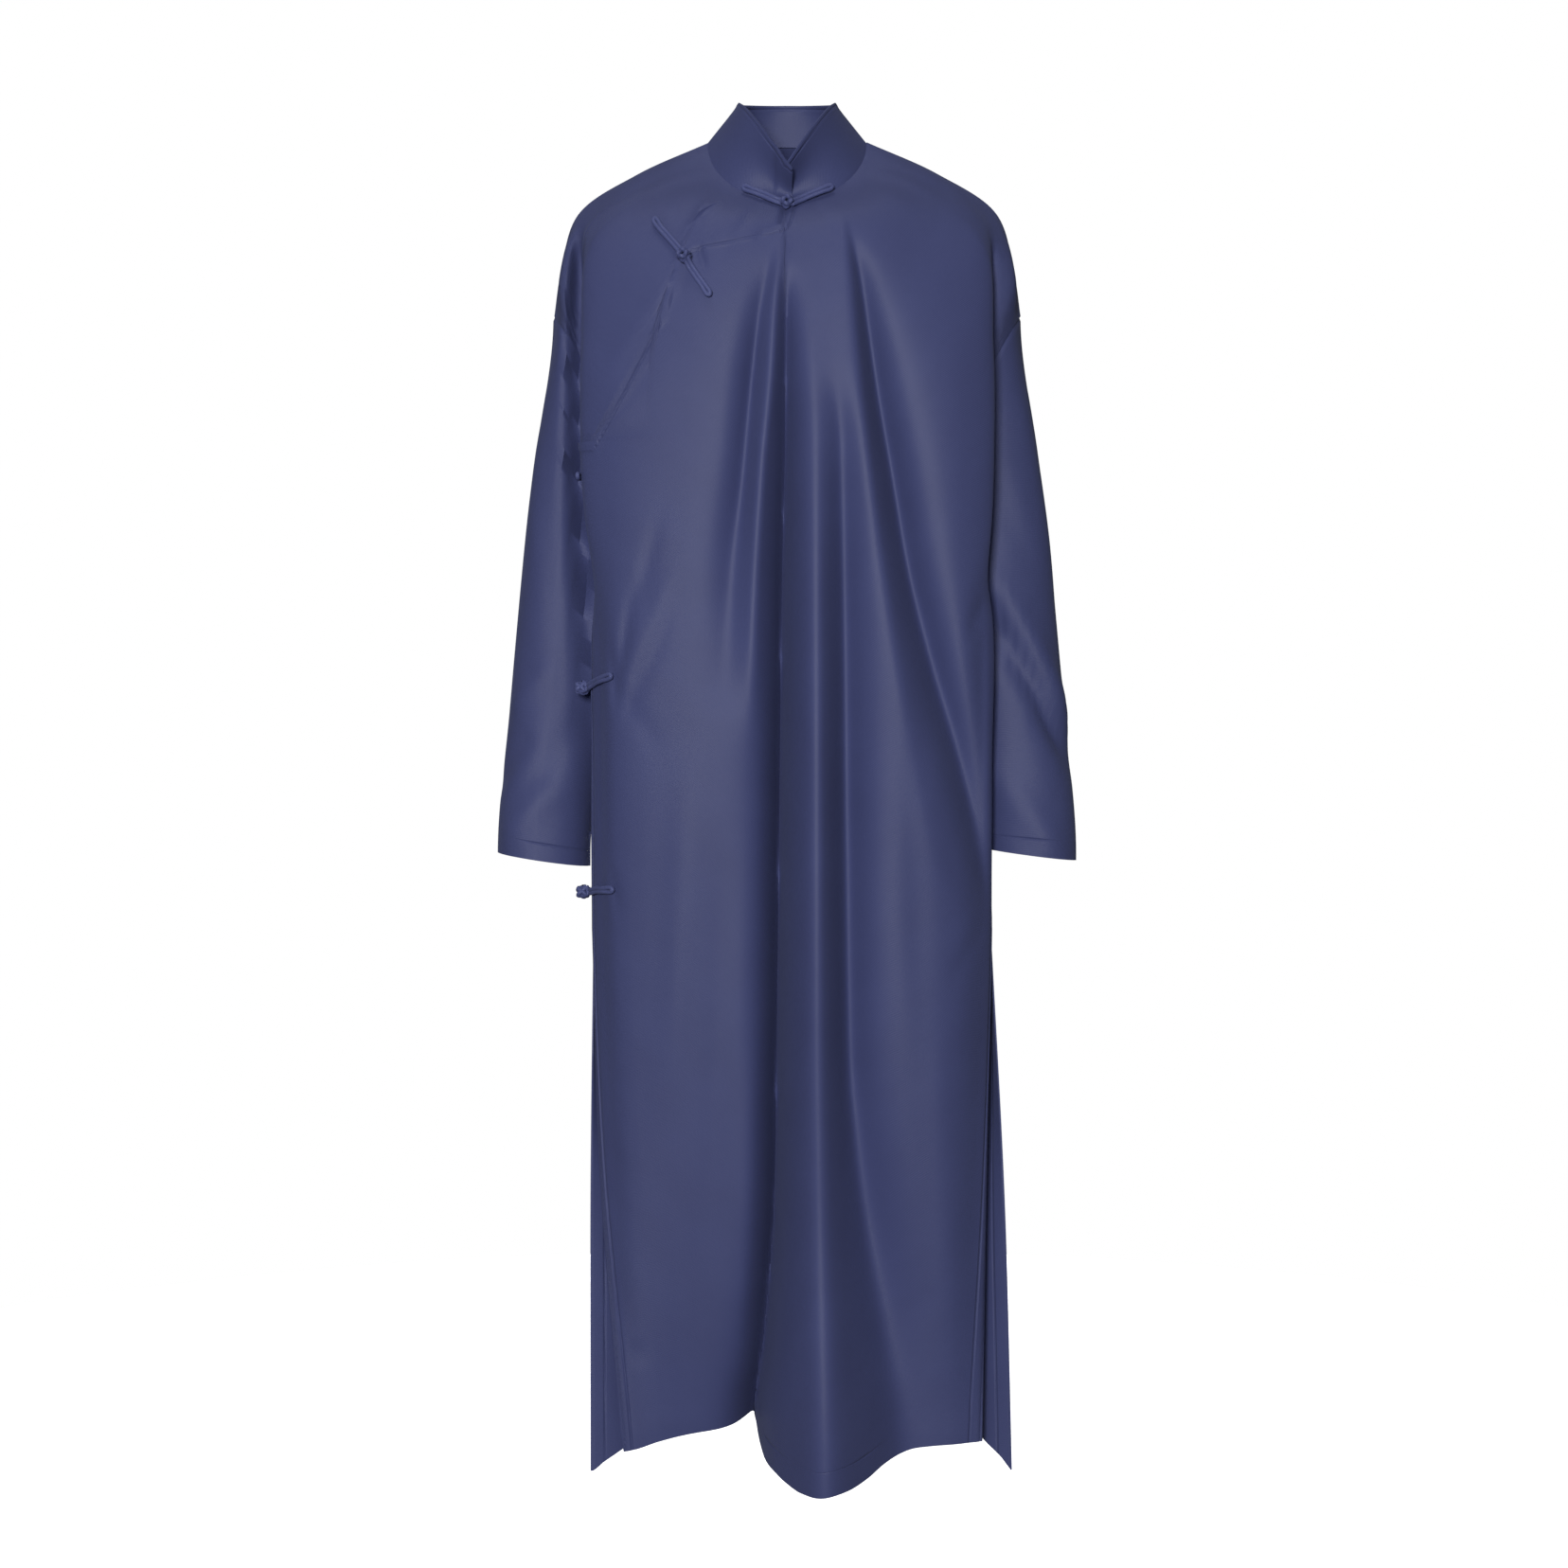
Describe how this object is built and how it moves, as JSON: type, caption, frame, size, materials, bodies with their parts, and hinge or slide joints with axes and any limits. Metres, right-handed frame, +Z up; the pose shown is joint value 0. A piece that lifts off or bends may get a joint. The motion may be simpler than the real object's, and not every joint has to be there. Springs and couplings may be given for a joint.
{
  "type": "robe",
  "caption": "Long-sleeved cotton robe with a stand collar, a side-fastening front, knotted cord fasteners and side slits, hollow and open at neck, cuffs and hem",
  "frame": {"origin": "middle of the neck opening's base, where the wearer's neck and shoulders carry the robe", "axes": "+Z up, the front faces -Y, +X is the wearer's left"},
  "size_m": [0.5874, 0.3089, 1.3881],
  "materials": {
    "indigo_cotton": "plain-woven matte cotton, soft sheen",
    "indigo_cord": "rolled bias cord of the same cotton"
  },
  "bodies": {
    "root": {"front_panel": "indigo_cotton", "underlap": "indigo_cotton", "back_panel": "indigo_cotton", "sleeve_left": "indigo_cotton", "sleeve_right": "indigo_cotton", "collar": "indigo_cotton", "neck_frog_loop": "indigo_cord", "neck_frog_ball": "indigo_cord", "chest_frog_loop": "indigo_cord", "chest_frog_ball": "indigo_cord", "armpit_frog_loop": "indigo_cord", "armpit_frog_ball": "indigo_cord", "waist_frog_loop": "indigo_cord", "waist_frog_ball": "indigo_cord", "hip_frog_loop": "indigo_cord", "hip_frog_ball": "indigo_cord"}
  },
  "joints": []
}
